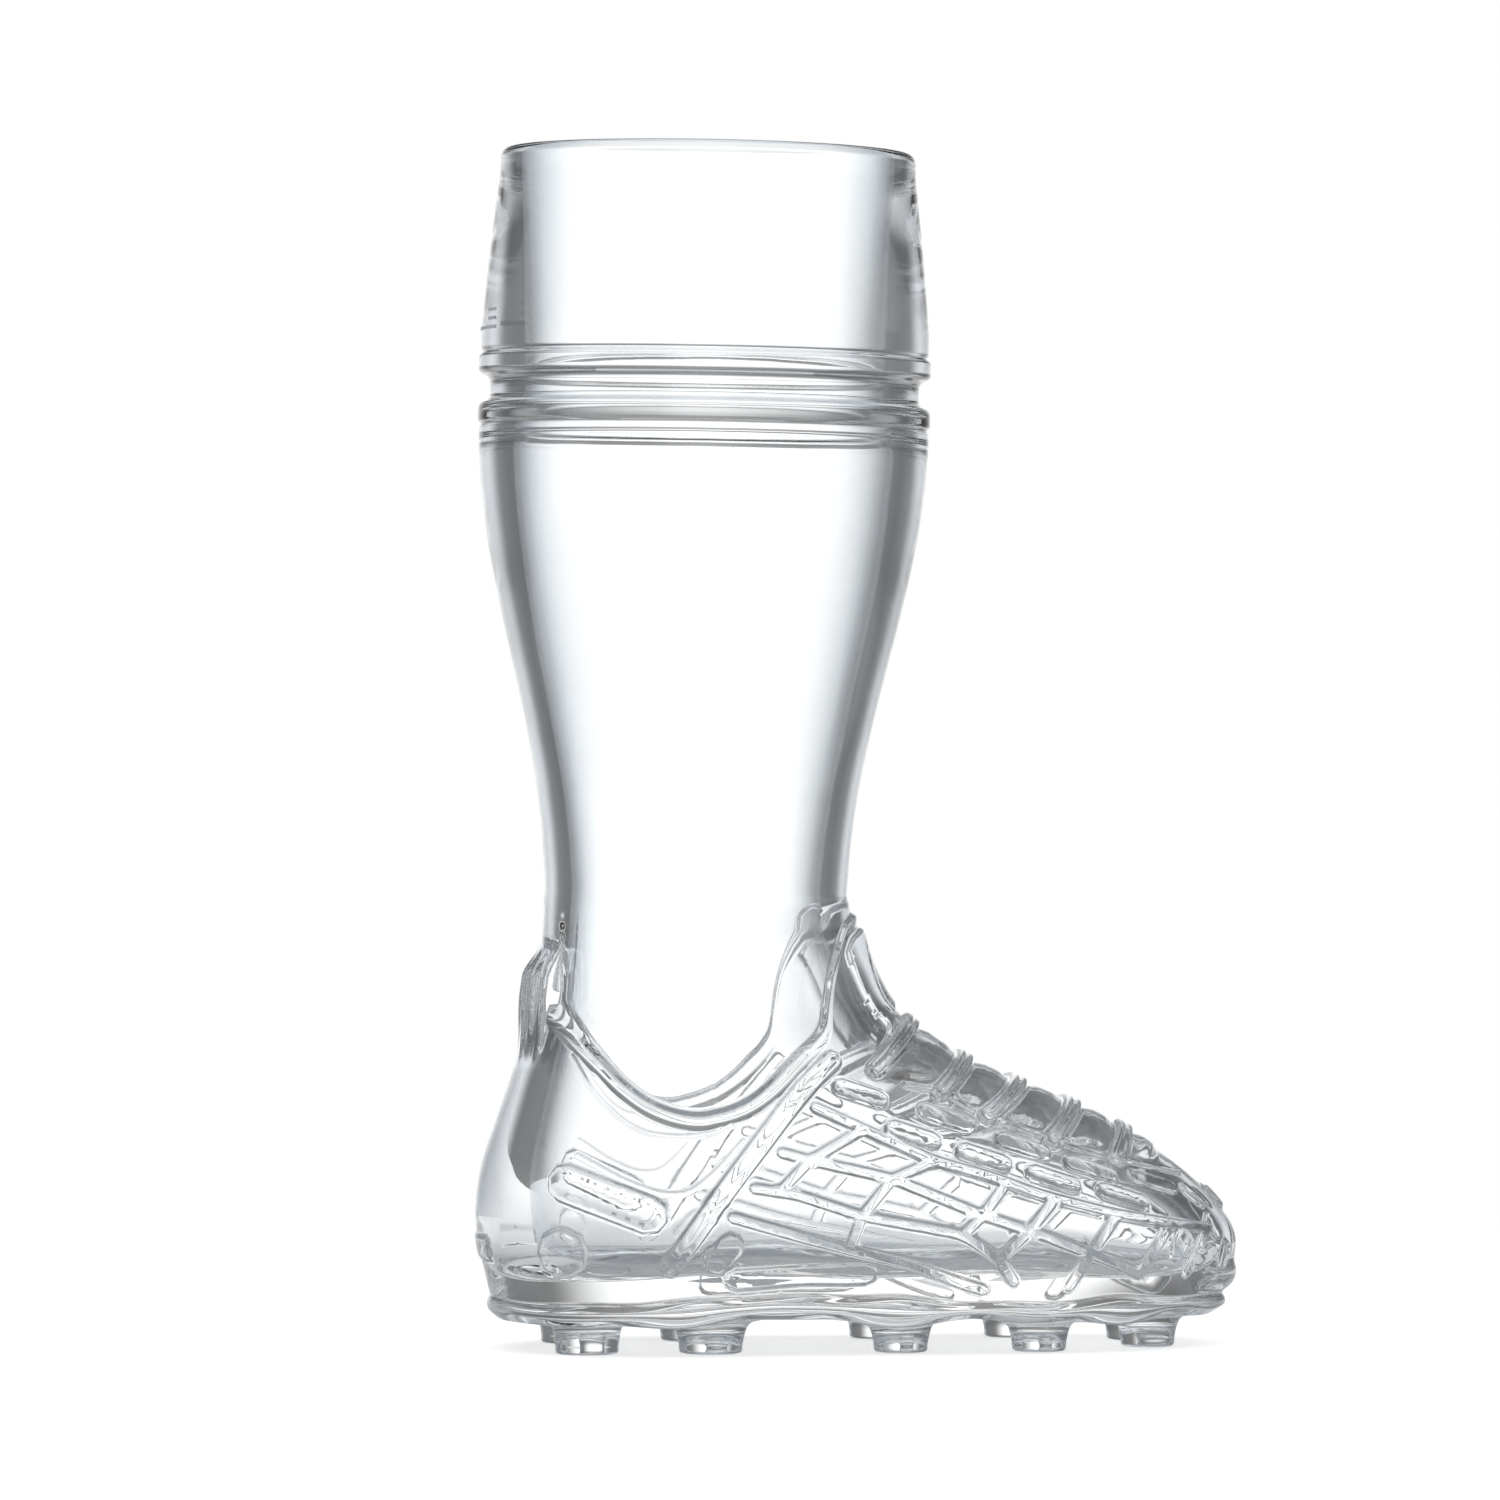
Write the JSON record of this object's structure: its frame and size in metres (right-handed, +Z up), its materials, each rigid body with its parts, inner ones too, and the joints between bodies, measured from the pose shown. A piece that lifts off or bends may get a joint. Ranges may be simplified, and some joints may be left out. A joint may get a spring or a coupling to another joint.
{
  "type": "boot-shaped beer glass",
  "caption": "Clear glass drinking vessel shaped like a football boot: flared leg with a ringed cuff, hollow shoe with moulded laces and net, and studs as feet.",
  "frame": {"origin": "middle of the bounding box at the level of the table, on the feet of the studs", "axes": "+X towards the toe, +Y towards the boot's own left side, +Z up to the rim"},
  "size_m": [0.1323, 0.0778, 0.2058],
  "materials": {
    "glass_clear": "clear polished soda-lime glass",
    "glass_edge": "clear glass, fire-polished edges and raised mouldings",
    "glass_deep": "clear glass in low relief"
  },
  "bodies": {
    "root": {"rim": "glass_edge", "cuff": "glass_clear", "upper_ring": "glass_edge", "ring_groove": "glass_clear", "lower_ring": "glass_edge", "calf": "glass_clear", "fill_marks": "glass_deep", "shoe_shell": "glass_clear", "ankle_collar": "glass_edge", "tongue": "glass_clear", "laces": "glass_edge", "lace_edge_left": "glass_edge", "lace_edge_right": "glass_edge", "eyestay_left": "glass_clear", "eyestay_right": "glass_clear", "vamp_net_left": "glass_edge", "vamp_net_right": "glass_edge", "side_strap_left": "glass_edge", "side_strap_right": "glass_edge", "border_strip_left": "glass_edge", "border_strip_right": "glass_edge", "quarter_pad_left": "glass_clear", "quarter_pad_right": "glass_clear", "window_pads": "glass_deep", "shank_pads": "glass_deep", "heel_tab": "glass_edge", "heel_clip": "glass_deep", "toe_bumper": "glass_deep", "sole_plate": "glass_clear", "heel_studs": "glass_edge", "forefoot_studs": "glass_edge"}
  },
  "joints": []
}
